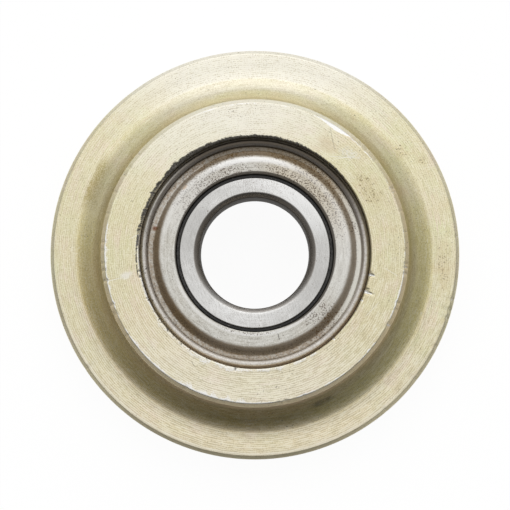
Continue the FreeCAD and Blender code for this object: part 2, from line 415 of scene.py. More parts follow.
def rub_flat(w):
    """A flat is rubbed on the hub's edge, widest near its middle."""
    reach = np.interp(w.degrees, *zip(*FLAT_REACH))
    start = HUB_R - HUB_CHAMFER - 0.95 * reach + 0.06 * (w.noise(120, 10) - 0.5)
    drop = np.where(w.z0 > HUB_FACE - 1.2, np.clip(w.r0 - start, 0, 1.6), 0)
    drop = drop * FLAT_SLOPE * (reach > 0)
    w.z = w.z - drop
    w.lay_bare(np.clip(drop / 0.07, 0, 1) * (w.z0 > HUB_FACE - 0.2))


def nick_rim(w):
    """Small nicks along the rim, which is a little rough."""
    on_rim = ridge(np.hypot(w.r0 - (WHEEL_R - 0.4), w.z0 - (RIM_WIDTH - 0.4)), 0, 0.6, 1.5)
    w.nick(RIM_NICKS, WHEEL_R, on_rim, cut=0.6, shown=1.0, black=0.6, bright=0.7)
    w.r = w.r - 0.03 * w.noise(260, 11) * w.noise(41, 12) * on_rim


def wheel_wear(turn, r, z):
    w = Wear(turn, r, z)
    for work in (chip_recess, raise_burr, wear_hub_edge, rub_flat, nick_rim):
        work(w)
    return w.r, w.z, {"bare": w.bare, "grime": w.grime}


# Lathe meshes

def lathe(name, outline, segments, wear=None):
    """Closed ring from an outline, with wear moving points and giving masks per point."""
    r = np.tile(np.array([p[0] for p in outline]), (segments, 1))
    z = np.tile(np.array([p[1] for p in outline]), (segments, 1))
    turn = np.arange(segments)[:, None] * FULL_TURN / segments
    masks = {}
    if wear:
        r, z, masks = wear(turn, r, z)
    points = np.stack([r * np.cos(turn), r * np.sin(turn), z], -1).reshape(-1, 3) * MM
    count = len(outline)
    i, j = np.meshgrid(np.arange(segments), np.arange(count), indexing="ij")
    next_i = (i + 1) % segments
    next_j = (j + 1) % count
    rows = [i * count + j, next_i * count + j, next_i * count + next_j, i * count + next_j]
    quads = np.stack(rows, -1).reshape(-1, 4)
    mesh = bpy.data.meshes.new(name)
    mesh.from_pydata(points.tolist(), [], quads.tolist())
    mesh.polygons.foreach_set("use_smooth", np.ones(len(mesh.polygons), bool))
    for key, values in masks.items():
        layer = mesh.attributes.new(key, "FLOAT", "POINT")
        layer.data.foreach_set("value", values.astype(np.float32).ravel())
    piece = bpy.data.objects.new(name, mesh)
    bpy.context.scene.collection.objects.link(piece)
    return piece


wheel = lathe("wheel_body", wheel_outline(), WHEEL_SEGMENTS, wheel_wear)
outer_ring = lathe("outer_ring", outer_ring_outline(), RING_SEGMENTS)
inner_ring = lathe("inner_ring_turned", inner_ring_outline(), RING_SEGMENTS)
front_shield = lathe("shield_front", shield_outline(), RING_SEGMENTS)
rear_shield = lathe("shield_rear", mirrored(shield_outline()), RING_SEGMENTS)
rear_grease = lathe("rear_grease", grease_outline(), BEAD_SEGMENTS)
front_grease = lathe("front_grease", mirrored(grease_outline()), BEAD_SEGMENTS)


# Nodes

class Value:
    """Output of a node that can be used in sums."""

    def __init__(self, maker, socket):
        self.maker = maker
        self.socket = socket

    def __add__(self, other):
        return self.maker.math("ADD", self, other)

    def __radd__(self, other):
        return self.maker.math("ADD", other, self)

    def __sub__(self, other):
        return self.maker.math("SUBTRACT", self, other)

    def __rsub__(self, other):
        return self.maker.math("SUBTRACT", other, self)

    def __mul__(self, other):
        return self.maker.math("MULTIPLY", self, other)

    def __rmul__(self, other):
        return self.maker.math("MULTIPLY", other, self)

    def __truediv__(self, other):
        return self.maker.math("DIVIDE", self, other)

    def __pow__(self, other):
        return self.maker.math("POWER", self, other)


def feed(tree, socket, value):
    """Link a socket or a Value to a socket, or set a plain number, vector or colour on it."""
    if isinstance(value, Value):
        value = value.socket
    if isinstance(value, bpy.types.NodeSocket):
        tree.links.new(value, socket)
    elif isinstance(value, tuple) and len(value) == 3 and len(socket.default_value) == 4:
        socket.default_value = (*value, 1.0)
    else:
        socket.default_value = value


def add_node(tree, kind, inputs=None, **settings):
    """New node with its settings, and its inputs fed."""
    node = tree.nodes.new(kind)
    for key, value in settings.items():
        setattr(node, key, value)
    for key, value in (inputs or {}).items():
        feed(tree, node.inputs[key], value)
    return node


class Finish:
    """One finish built from nodes, coat upon coat, in millimetres of the part's own frame."""

    def __init__(self, name):
        self.material = bpy.data.materials.new(name)
        self.material.use_nodes = True
        self.tree = self.material.node_tree
        self.shader = self.tree.nodes["Principled BSDF"]
        metres = self.add("ShaderNodeTexCoord").outputs["Object"]
        scaled = self.add("ShaderNodeVectorMath", {0: metres, "Scale": 1 / MM}, operation="SCALE")
        self.place = scaled.outputs[0]
        parts = self.add("ShaderNodeSeparateXYZ", {0: self.place})
        self.x, self.y, self.z = (Value(self, socket) for socket in parts.outputs)
        self.r = (self.x * self.x + self.y * self.y) ** 0.5
        self.colour = None

    def add(self, kind, inputs=None, **settings):
        return add_node(self.tree, kind, inputs, **settings)

    def math(self, kind, a, b=0.0):
        return Value(self, self.add("ShaderNodeMath", {0: a, 1: b}, operation=kind).outputs[0])

    def larger(self, a, b):
        return self.math("MAXIMUM", a, b)

    def smaller(self, a, b):
        return self.math("MINIMUM", a, b)

    def join(self, x, y, z):
        return self.add("ShaderNodeCombineXYZ", {0: x, 1: y, 2: z}).outputs[0]

    def noise(self, size, detail=2.0, at=None):
        """Cloudy values round 0.5, with features of about this size."""
        inputs = {"Vector": self.place if at is None else at, "Scale": 1.0 / size, "Detail": detail}
        return Value(self, self.add("ShaderNodeTexNoise", inputs).outputs["Fac"])

    def rise(self, value, low, high):
        """0 below low, 1 above high and smooth between; the other way round if low is above high."""
        inputs = {
            "Value": value, "From Min": min(low, high), "From Max": max(low, high),
            "To Min": 0.0 if low < high else 1.0, "To Max": 1.0 if low < high else 0.0,
        }
        node = self.add("ShaderNodeMapRange", inputs, interpolation_type="SMOOTHSTEP")
        return Value(self, node.outputs[0])

    def band(self, value, low, high, soft):
        return self.rise(value, low - soft, low + soft) * self.rise(value, high + soft, high - soft)

    def mix(self, share, a, b):
        inputs = {"Factor": share, 6: a, 7: b}
        return self.add("ShaderNodeMix", inputs, data_type="RGBA").outputs[2]

    def coat(self, share, colour):
        """Lay a colour over the coats before it, by a share from 0 to 1."""
        self.colour = self.mix(share, self.colour, colour)

    def mask(self, name):
        return Value(self, self.add("ShaderNodeAttribute", attribute_name=name).outputs["Fac"])

    def turned_lines(self, pitch, drift, start=0.0):
        """Lathe lines: noise that changes fast across the turning and slowly round the axis."""
        return self.noise(pitch, 1.0, self.join(self.r - self.z + start, self.x * drift, self.y * drift))

    def sector(self, degrees, half, soft):
        """1 within so many degrees of one direction round the axis, soft at the ends."""
        c, s = math.cos(math.radians(degrees)), math.sin(math.radians(degrees))
        facing = (self.x * c + self.y * s) / self.r
        outside = math.cos(math.radians(half + soft))
        return self.rise(facing, outside, math.cos(math.radians(max(half - soft, 0))))

    def blob(self, x, y, long, short, turn, ragged=0.6):
        """Soft patch on a face, long by short millimetres (half sizes), turned by degrees."""
        c, s = math.cos(math.radians(turn)), math.sin(math.radians(turn))
        u = ((self.x - x) * c + (self.y - y) * s) / long
        v = ((self.y - y) * c - (self.x - x) * s) / short
        off = (u * u + v * v) ** 0.5 + (self.noise(0.8 * short, 3.0) - 0.5) * ragged
        return self.rise(off, 1.15, 0.35)

    def scratch(self, ax, ay, bx, by, width):
        """Thin straight scratch between two points of a face."""
        length = math.hypot(bx - ax, by - ay)
        c, s = (bx - ax) / length, (by - ay) / length
        u = (self.x - ax) * c + (self.y - ay) * s
        v = self.math("ABSOLUTE", (self.y - ay) * c - (self.x - ax) * s)
        return self.rise(v, width, 0.2 * width) * self.band(u, 0.0, length, 0.15 * length)

    def finish(self, rough, height, depth, metal=1.0, specular=None):
        """Join the coats, and a bump of so many millimetres, to the shader."""
        for key, value in (("Base Color", self.colour), ("Roughness", rough), ("Metallic", metal)):
            feed(self.tree, self.shader.inputs[key], value)
        bump = self.add("ShaderNodeBump", {"Strength": 1.0, "Distance": depth * MM, "Height": height})
        feed(self.tree, self.shader.inputs["Normal"], bump.outputs[0])
        if specular is not None:
            feed(self.tree, self.shader.inputs["Specular IOR Level"], specular)
        return self.material


# Plating of the wheel

FEED = 0.46  # of the turning tool, seen as fine rings
STRAW = (0.80, 0.725, 0.50)
COOL_STRAW = (0.78, 0.735, 0.485)
ROSY_STRAW = (0.83, 0.70, 0.56)
GREEN_STRAW = (0.74, 0.735, 0.45)
CREAM = (0.84, 0.79, 0.61)
TAN = (0.72, 0.56, 0.34)
COVE_STRAW = (0.745, 0.655, 0.275)
CORNER_SHADE_STRAW = (0.44, 0.375, 0.22)
GREY_STRAW = (0.50, 0.45, 0.33)
AMBER = (0.76, 0.53, 0.15)
LIGHT_OLIVE = (0.90, 0.80, 0.34)
PAINTED_LIGHT_STRAW = (0.93, 0.90, 0.81)
SHADED_STRAW = (0.55, 0.46, 0.27)
PAINTED_HIGHLIGHT_CREAM = (0.98, 0.85, 0.60)
GROOVE_DARK = (0.47, 0.40, 0.235)
GROOVE_PALE = (0.96, 0.92, 0.76)
WALL_HIGHLIGHT_BUFF = (0.90, 0.70, 0.52)
EDGE_SIDE_SHADE = (0.62, 0.44, 0.20)
EDGE_LOWER_HIGHLIGHT = (0.97, 0.80, 0.50)
EDGE_UPPER_HIGHLIGHT = (0.97, 0.94, 0.83)
RIM_HIGHLIGHT_LINE = (0.97, 0.93, 0.80)
RIM_HIGHLIGHT_STRAW = (0.88, 0.79, 0.52)
RIM_BROWN = (0.50, 0.44, 0.29)
RUBBED = (0.93, 0.92, 0.90)
STAIN_OCHRE = (0.36, 0.28, 0.10)
STAIN_BROWN = (0.66, 0.54, 0.37)
SCUFF_GREY = (0.80, 0.79, 0.76)
SMUDGE_BLACK = (0.17, 0.15, 0.11)
SOOT_HAZE = (0.56, 0.43, 0.23)
SOOT_BLACK = (0.25, 0.19, 0.10)
TANNED = (0.62, 0.48, 0.27)
FRECKLE_BROWN = (0.27, 0.21, 0.12)
SPECK_BLACK = (0.17, 0.145, 0.09)
SCRATCH_PALE = (0.95, 0.93, 0.88)
SCRATCH_DARK = (0.30, 0.27, 0.21)
BARE_STEEL = (0.93, 0.925, 0.915)
GRIME_BLACK = (0.095, 0.085, 0.070)
GRIME_GREY = (0.23, 0.215, 0.19)


class Plating(Finish):
    """Finish of the wheel, with the fields that its coats share."""

    def __init__(self):
        super().__init__("plated_steel")
        self.lines = self.turned_lines(0.34, 0.16)
        self.broad = self.turned_lines(1.1, 0.05, 11.0)
        self.cloud = self.noise(9.0, 3.0)
        self.patch = self.noise(3.2, 4.0)
        self.grain = self.noise(0.28, 3.0)
        wavy = (self.broad - 0.5) * 0.25 + (self.patch - 0.5) * 0.6
        self.grooves = self.math("SINE", (self.r - self.z + wavy) * (FULL_TURN / FEED)) * 0.5 + 0.5
        self.on_hub = self.rise(self.z, 18.5, 18.9)
        self.hub_face = self.rise(self.z, 18.8, 18.95)
        self.flats = self.hub_face + self.rise(self.z, 9.5, 9.25)
        self.under_hub = self.rise(self.z, 18.3, 17.8) * self.rise(self.z, 8.6, 9.3)
        self.front = self.rise(self.z, 5.0, 8.5)


def plate_base(f):
    """Uneven straw, rosy and greenish by turns."""
    f.colour = f.mix(f.rise(f.cloud, 0.35, 0.65), STRAW, COOL_STRAW)
    tint = (f.turned_lines(0.45, 0.05, 23.0) - 0.5) * 0.6
    lower_side = f.sector(-105.0, 60.0, 30.0)
    rosy = f.rise((f.noise(6.0, 2.0) - 0.5) * 1.2 + tint, 0.02, 0.30)
    f.coat(rosy * 0.6 + lower_side * 0.25, ROSY_STRAW)
    green = f.rise((f.noise(7.0, 2.0, f.join(f.y + 40.0, f.z, f.x)) - 0.5) * 1.2 - tint, 0.04, 0.30)
    f.coat(green * (0.5 - 0.3 * lower_side), GREEN_STRAW)
    f.coat(f.rise(f.patch, 0.5, 0.8) * 0.5, CREAM)
    blotch = f.rise(f.noise(4.5, 4.0, f.join(f.y, f.x + 60.0, f.z)), 0.52, 0.74)
    f.coat(blotch * f.sector(20.0, 60.0, 30.0) * 0.4, TAN)


def plate_cove(f):
    """The film is thicker in the cove and thinner towards the top; the corner under the hub is painted in
    shade.
    """
    shift = f.sector(-90.0, 60.0, 20.0) * 0.6 - f.sector(168.0, 30.0, 20.0) * 0.5
    cove = f.rise(f.r, 35.7, 37.1) * f.rise(f.r + shift, 41.2, 39.8)
    cove = cove * f.rise(f.z, 18.6, 18.0) * f.rise(f.z, 8.6, 9.3)
    thin = f.sector(135.0, 24.0, 18.0)
    summit = f.sector(92.0, 24.0, 16.0)
    film = 0.65 + (f.cloud - 0.5) * 0.8 - 0.4 * thin - 0.5 * summit - 0.45 * f.sector(45.0, 22.0, 16.0)
    f.coat(cove * film, COVE_STRAW)
    # painted shade in the corner under the hub's wall, and on that wall at the top
    corner = f.rise(f.r, 34.75, 35.4) * f.rise(f.r, 37.4, 36.4) * f.under_hub
    sides = f.sector(180.0, 22.0, 16.0) + f.sector(-90.0, 24.0, 18.0)
    f.coat(corner * (0.42 - 0.08 * thin - 0.18 * summit + 0.12 * sides), CORNER_SHADE_STRAW)
    f.coat(f.rise(f.r, 35.7, 35.0) * f.under_hub * summit * 0.42, CORNER_SHADE_STRAW)
    f.coat(summit * f.band(f.r, 37.5, 40.3, 0.4) * f.under_hub * 0.40, GREY_STRAW)
    lower = f.rise(f.r, 35.3, 36.2) * f.rise(f.r, 41.4, 40.4) * f.under_hub
    f.coat(lower * f.sector(-125.0, 50.0, 30.0) * 0.4, AMBER)
    right = f.rise(f.r, 36.6, 38.0) * f.rise(f.r, 41.6, 40.6) * f.under_hub
    f.coat(right * f.sector(-36.0, 26.0, 20.0) * 0.5, LIGHT_OLIVE)


def plate_light(f):
    """Painted light and shade: the flats are painted paler above and darker at the sides, and a warm
    painted highlight lies on the cove's lower foot and the flange's lower side; gives the foot of the
    cove.
    """
    across = f.larger(f.x, f.x * (f.hub_face * 0.9 - 1.0))
    pale = f.rise(f.y - across * 0.55 + (f.cloud - 0.5) * 14.0, 8.0, 34.0)
    low = f.rise(f.y + (f.cloud - 0.5) * 16.0, -14.0, -32.0) * f.on_hub
    pale = pale * f.larger(f.flats, f.sector(95.0, 26.0, 16.0) * f.rise(f.r, 37.2, 38.4) * 0.5)
    # painted light: paler above, and a little on the hub's lower side
    f.coat(f.larger(pale * 0.85, low * 0.35), PAINTED_LIGHT_STRAW)
    shaded = f.sector(-8.0, 40.0, 32.0) * f.hub_face + f.sector(180.0, 24.0, 20.0) * f.flats * 0.6
    f.coat(shaded * 0.16, SHADED_STRAW)
    # painted highlight on the cove's lower foot and on the flange's lower side
    foot = f.band(f.r, 40.1, 41.4, 0.4) * f.sector(-90.0, 62.0, 20.0) * f.rise(f.z, 12.0, 10.5)
    warm = f.rise(f.y, -24.0, -42.0) * f.rise(f.z, 10.2, 9.4)
    f.coat(f.larger(foot * 0.4, warm * 0.35), PAINTED_HIGHLIGHT_CREAM)
    return foot


def plate_turning(f):
    """Dark and pale turning lines, keenest on the lower side."""
    keen = 0.5 + 0.6 * f.sector(-80.0, 60.0, 30.0)
    tone = (f.lines - 0.5) * keen * 1.2 + (f.broad - 0.5) * 0.15 + (f.grain - 0.5) * 1.5
    tone = tone + (f.grooves - 0.5) * (0.25 + 0.25 * f.sector(-100.0, 55.0, 30.0))
    f.coat(f.rise(tone, 0.0, -0.34) * 0.50, GROOVE_DARK)
    f.coat(f.rise(tone, 0.0, 0.34) * 0.60, GROOVE_PALE)


def plate_edges(f):
    """Painted light and shade on the wall under the hub's edge, on that edge and on the rim's: painted
    highlights on the lower wall, on the edge above and below and on the rim's lower side, and painted
    shade at the edge's sides; gives how dull these places are.
    """
    wall = f.rise(f.r, 35.7, 34.95) * f.under_hub * f.sector(-75.0, 50.0, 30.0)
    f.coat(wall * 0.55, WALL_HIGHLIGHT_BUFF)
    # painted shade at the sides of the hub's edge, painted highlights above and below
    edge = f.band(f.r, 33.75, 34.7, 0.12) * f.band(f.z, 17.95, 18.93, 0.08)
    sides = f.sector(-5.0, 35.0, 25.0) + f.sector(183.0, 25.0, 20.0) * 0.7
    f.coat(edge * sides * 0.45, EDGE_SIDE_SHADE)
    f.coat(edge * f.rise(f.y, -2.0, -16.0) * 0.6, EDGE_LOWER_HIGHLIGHT)
    f.coat(edge * f.sector(92.0, 26.0, 20.0) * 0.6, EDGE_UPPER_HIGHLIGHT)
    # painted highlight on the rim's lower side, straw with brown at the very bottom
    brink = f.rise(f.r, 46.05, 46.3) * f.rise(f.z, 7.9, 8.5) * f.sector(-90.0, 62.0, 20.0)
    lining = f.band(f.r, 45.45, 46.0, 0.15) * f.rise(f.z, 8.9, 9.1) * f.sector(-100.0, 62.0, 20.0)
    f.coat(lining * 0.4, RIM_HIGHLIGHT_LINE)
    f.coat(brink * 0.9, f.mix(f.sector(-98.0, 24.0, 24.0) * 0.75, RIM_HIGHLIGHT_STRAW, RIM_BROWN))
    f.coat(f.blob(-28.8, -5.1, 1.7, 1.0, 25, 0.9) * f.hub_face * 0.5, RUBBED)
    side = f.rise(f.r, 46.75, 46.95) * f.sector(-90.0, 75.0, 20.0)
    return edge * (0.4 + 0.2 * f.sector(-62.0, 50.0, 20.0)) + side * 0.3 + brink * 0.65 + wall * 0.3


def plate_stains(f):
    """Stains, soot and freckles, on the hub's side alone."""
    ragged = f.r + (f.patch - 0.5) * 1.6
    stain = f.sector(156.0, 6.5, 4.5) * f.rise(ragged, 36.4, 40.4) * f.rise(ragged, 41.7, 41.0) * f.front
    stipple = f.rise(f.noise(0.26, 3.0, f.join(f.y, f.z, f.x)), 0.42, 0.60)
    f.coat(stain * (0.34 + 0.46 * stipple), STAIN_OCHRE)
    f.coat(f.blob(16.5, 24.0, 3.4, 2.0, -30, 0.9) * 0.4 * f.front, STAIN_BROWN)
    scuff = f.blob(21.2, 22.2, 2.6, 1.5, -20, 1.2) * f.rise(f.noise(0.5, 3.0), 0.35, 0.65) * f.front
    f.coat(scuff * 0.6, SCUFF_GREY)
    around = f.math("ARCTAN2", f.x, f.y) * 38.0
    streak = f.rise(f.noise(0.30, 3.0, f.join(f.r - f.z, around * 0.2, 0.0)), 0.36, 0.66)
    smudge = f.blob(15.4, -33.6, 3.8, 0.9, 24, 0.7) * (0.4 + 0.6 * streak) * f.front
    f.coat(smudge * 0.7, SMUDGE_BLACK)
    sooty = f.blob(25.6, 14.0, 6.2, 2.9, -60, 1.1) * f.front
    f.coat(sooty * 0.22, SOOT_HAZE)
    f.coat(f.rise(f.noise(0.40, 4.0) + (sooty - 1.0) * 0.2, 0.55, 0.61) * 0.75, SOOT_BLACK)
    tanned = f.blob(43.2, -3.0, 7.0, 2.0, 90, 1.1) + f.blob(33.3, 23.6, 2.8, 1.6, -50, 1.1)
    tanned = (tanned + f.blob(38.4, 21.8, 1.8, 1.1, -60, 1.1)) * f.front
    f.coat(tanned * 0.28, TANNED)
    f.coat(f.rise(f.noise(0.42, 3.0) + (tanned - 1.0) * 0.2, 0.555, 0.61) * 0.6, FRECKLE_BROWN)


def plate_marks(f):
    """Specks of dirt, thick in some places, and scratches; gives how deep they are."""
    dirty = f.rise(f.noise(10.0, 2.0), 0.40, 0.68)
    speck = f.rise(f.noise(0.42, 3.0), 0.635, 0.70) * (0.15 + 0.85 * dirty)
    f.coat(speck * 0.7, SPECK_BLACK)
    bright = f.scratch(16.8, 21.6, 23.2, 21.2, 0.10) + f.scratch(17.6, 20.9, 22.6, 21.7, 0.07)
    bright = bright + f.scratch(24.8, -14.2, 27.6, -11.2, 0.10) + f.scratch(-27.8, 3.2, -25.2, 4.6, 0.10)
    bright = bright + f.scratch(29.0, -3.4, 31.9, -5.2, 0.09) + f.scratch(-33.0, -6.4, -30.2, -5.7, 0.12)
    bright = f.smaller(bright * f.on_hub, 1.0)
    f.coat(bright * 0.65, SCRATCH_PALE)
    dark = f.scratch(16.8, 28.4, 17.9, 23.2, 0.10) + f.scratch(-14.1, -24.3, -13.4, -25.5, 0.14)
    dark = dark * f.on_hub
    f.coat(dark * 0.6, SCRATCH_DARK)
    return bright * 0.6 + dark * 0.6 + speck * 0.3


def plate_wear(f):
    """Bare steel and black grime where the mesh is worn; gives both."""
    bare = f.rise(f.mask("bare") + (f.grain - 0.5) * 0.7, 0.30, 0.62)
    f.coat(bare * 0.9, BARE_STEEL)
    along = f.math("ARCTAN2", f.x, f.y) * SEAT_R
    hair = f.noise(0.42, 3.0, f.join(along + f.r * 0.6, f.r * 0.3, 0.0)) - 0.5
    black = f.mask("grime")
    hair = hair * f.rise(black, 0.03, 0.25) * (0.5 + 1.4 * f.rise(f.noise(2.5, 2.0), 0.4, 0.6))
    grime = f.rise(black + hair, 0.40, 0.62)
    f.coat(grime, f.mix(f.rise(f.noise(0.35, 3.0), 0.40, 0.62), GRIME_BLACK, GRIME_GREY))
    return bare, grime


def plated_steel():
    f = Plating()
    plate_base(f)
    plate_cove(f)
    foot = plate_light(f)
    plate_turning(f)
    dull = plate_edges(f) + foot * 0.15
    plate_stains(f)
    marks = plate_marks(f)
    bare, grime = plate_wear(f)
    rough = 0.33 + (f.patch - 0.5) * 0.14 + (f.grain - 0.5) * 0.10 - bare * 0.08 + grime * 0.3
    height = f.lines * 0.5 + f.grooves * 0.35 + f.broad * 0.2 + f.grain * 0.25 - marks
    metal = 1.0 - grime * 0.8 - dull * (1.0 - grime)
    return f.finish(rough, height, depth=0.014, metal=metal)


# Steel of the bearing's rings

RING_GREY = (0.70, 0.69, 0.67)
RING_LIGHT = (0.77, 0.765, 0.75)
RING_DARK = (0.42, 0.41, 0.39)
RING_BRIGHT = (0.92, 0.92, 0.91)
RING_LIT = (0.93, 0.93, 0.92)
RING_SPECK = (0.16, 0.11, 0.08)
RING_FRECKLE = (0.30, 0.24, 0.21)
INSIDE_DARK = (0.13, 0.115, 0.095)
LEAD_SHADE_BROWN = (0.20, 0.165, 0.13)
LEAD_HIGHLIGHT = (0.86, 0.76, 0.66)
BORE_BLACK = (0.080, 0.066, 0.050)
OUTER_WARM = (0.82, 0.775, 0.71)
OUTER_HIGHLIGHT = (0.88, 0.86, 0.82)
OUTER_FILM = (0.34, 0.25, 0.17)
OUTER_GRIME_AND_SHADE = (0.075, 0.058, 0.039)
OUTER_GRIT = (0.07, 0.05, 0.035)
MOUTH_BROWN = (0.18, 0.125, 0.065)
OUTER_EDGE_SHADE = (0.18, 0.14, 0.095)


def ring_steel():
    f = Finish("ring_steel")
    swirl = f.noise(0.12, 2.0, f.join(f.x * 0.9 + f.y * 0.25, f.y * 0.06 - f.x * 0.02, f.z))
    cross = f.noise(0.22, 2.0, f.join(f.r * 0.8, f.x * 0.10, f.y * 0.10))
    grain = f.noise(0.25, 3.0)
    cloud = f.noise(5.0, 3.0)
    f.colour = f.mix(f.rise(cloud, 0.3, 0.7), RING_GREY, RING_LIGHT)
    tone = (swirl - 0.5) * 0.8 + (cross - 0.5) * 0.5 + (grain - 0.5) * 0.8
    f.coat(f.rise(tone, 0.0, -0.2) * 0.5, RING_DARK)
    f.coat(f.rise(tone, 0.0, 0.2) * 0.55, RING_BRIGHT)
    # painted shade to both sides along one axis across the face (the turned steel's bow-tie), and a
    # painted highlight towards 50°
    worn = ((f.x * 0.94 - f.y * 0.34) / f.r) ** 2.0
    f.coat(worn * f.rise(cloud, 0.2, 0.6) * 0.60, RING_DARK)
    f.coat(f.sector(50.0, 24.0, 18.0) * 0.4, RING_LIT)
    speck = f.rise(f.noise(0.40, 2.0), 0.66, 0.74) * f.rise(f.noise(6.0), 0.45, 0.62)
    f.coat(speck * 0.7, RING_SPECK)
    f.coat(f.rise(f.noise(0.30, 2.0), 0.58, 0.67) * f.sector(82.0, 18.0, 14.0) * 0.5, RING_FRECKLE)
    # dark inside the bearing and on the bore; painted shade on the bore's lead, least at the bottom,
    # where a painted highlight lies
    inside = f.band(f.r, 16.92, 24.1, 0.05)
    f.coat(inside * 0.93, INSIDE_DARK)
    foot = f.sector(-88.0, 26.0, 22.0)
    lead = f.rise(f.r + foot * 0.36, 13.87, 13.60)
    f.coat(lead * (0.70 - 0.60 * f.sector(-90.0, 54.0, 26.0)), LEAD_SHADE_BROWN)
    f.coat(lead * foot * 0.35, LEAD_HIGHLIGHT)
    bore = f.rise(f.r, 12.85, 12.60)
    f.coat(bore * 0.97, BORE_BLACK)
    # grime and painted shade lie on the outer ring, darkest on the upper side under the wheel's recess
    # wall, where the recess edge is chipped
    outer = f.rise(f.r, 23.9, 24.15)
    upper = f.y - f.smaller(f.x, 0.0) * 0.13 + (f.noise(1.5, 3.0) - 0.5) * 5.0
    shade = f.rise(upper, -1.0, 17.0)
    f.coat(outer * 0.6, OUTER_WARM)
    mouth = f.rise(f.r, 24.75, 24.4)
    edge = f.rise(f.r - f.y * 0.006, 25.3, 25.6)
    brown = 1.0 - 0.78 * f.sector(-42.0, 22.0, 18.0) - 0.55 * f.sector(-112.0, 40.0, 20.0)
    f.coat(outer * mouth * brown * f.rise(f.y, 22.0, 2.0) * 0.47, MOUTH_BROWN)
    # painted shade on the outer edge, in the gap to the recess wall
    f.coat(edge * (0.5 - 0.16 * f.sector(205.0, 40.0, 20.0)), OUTER_EDGE_SHADE)
    f.coat(outer * f.rise(f.noise(0.32, 3.0), 0.42, 0.66) * 0.34, OUTER_FILM)
    black = 0.93 - 0.35 * mouth - 0.4 * edge - 0.12 * f.sector(145.0, 16.0, 14.0)
    f.coat(outer * black * shade, OUTER_GRIME_AND_SHADE)
    # painted highlight on the face at the left
    f.coat(f.band(f.r, 24.95, 25.45, 0.14) * f.sector(168.0, 28.0, 16.0) * 0.5, OUTER_HIGHLIGHT)
    grit = f.rise(f.noise(0.48, 2.0), 0.62, 0.69) * f.sector(188.0, 26.0, 14.0) * outer
    f.coat(grit * 0.8, OUTER_GRIT)
    rough = 0.27 + (cloud - 0.5) * 0.15 + inside * 0.4 + bore * 0.35 + outer * 0.20
    metal = 1.0 - bore * 0.95 - edge * shade * 0.5
    height = swirl * 0.5 + cross * 0.4 + grain * 0.2 - speck * 0.5
    return f.finish(rough, height, depth=0.008, metal=metal, specular=0.12)


# Sheet steel of the shields

SHEET_GREY = (0.62, 0.597, 0.535)
SHEET_LIGHT = (0.70, 0.685, 0.63)
SHEET_DARK = (0.36, 0.33, 0.285)
SHEET_BRIGHT = (0.90, 0.89, 0.85)
SHEET_TAN = (0.66, 0.53, 0.31)
SHEET_LIT = (0.93, 0.92, 0.89)
SHEET_HIGHLIGHT = (0.97, 0.96, 0.94)
RUST_HAZE = (0.40, 0.31, 0.24)
RUST_BLACK = (0.10, 0.062, 0.04)
RUST_RED = (0.20, 0.05, 0.025)
RUST_OCHRE = (0.46, 0.25, 0.07)
SHEET_SCRATCH = (0.05, 0.04, 0.03)
STEP_BLACK = (0.13, 0.074, 0.020)
STEP_BROWN = (0.21, 0.135, 0.055)
SHEET_RIM_BROWN = (0.33, 0.20, 0.08)
SHEET_RIM_HIGHLIGHT = (0.92, 0.895, 0.81)
SHEET_RIM_GRIME_AND_SHADE = (0.095, 0.078, 0.054)
SHEET_RIM_SHADE = (0.10, 0.075, 0.045)
LIP_SHADE = (0.07, 0.060, 0.048)
LIP_INNER_SHADE = (0.045, 0.040, 0.034)
SHEET_GRIT = (0.075, 0.055, 0.04)


def shield_rust(f):
    """Rust specks, thick in three places, and single marks; gives the pits."""
    thick = f.sector(124.0, 30.0, 10.0) + f.sector(48.0, 38.0, 14.0) + f.sector(-44.0, 10.0, 8.0)
    thick = thick * f.rise(f.noise(2.2, 2.0), 0.24, 0.46)
    dots = f.noise(0.36, 3.0)
    few = f.rise(dots, 0.66, 0.72)
    many = f.rise(dots + (thick - 1.0) * 0.2, 0.53, 0.57)
    f.coat(thick * 0.10, RUST_HAZE)
    f.coat(f.larger(few * 0.7, many * 0.82), RUST_BLACK)
    f.coat(f.blob(-22.35, 5.55, 0.9, 0.62, 0), RUST_RED)
    f.coat(f.blob(-15.75, 14.75, 0.9, 0.4, 45) * 0.9, RUST_OCHRE)
    f.coat(f.scratch(5.2, -18.1, 5.5, -19.4, 0.14) * 0.8, SHEET_SCRATCH)
    return few + many


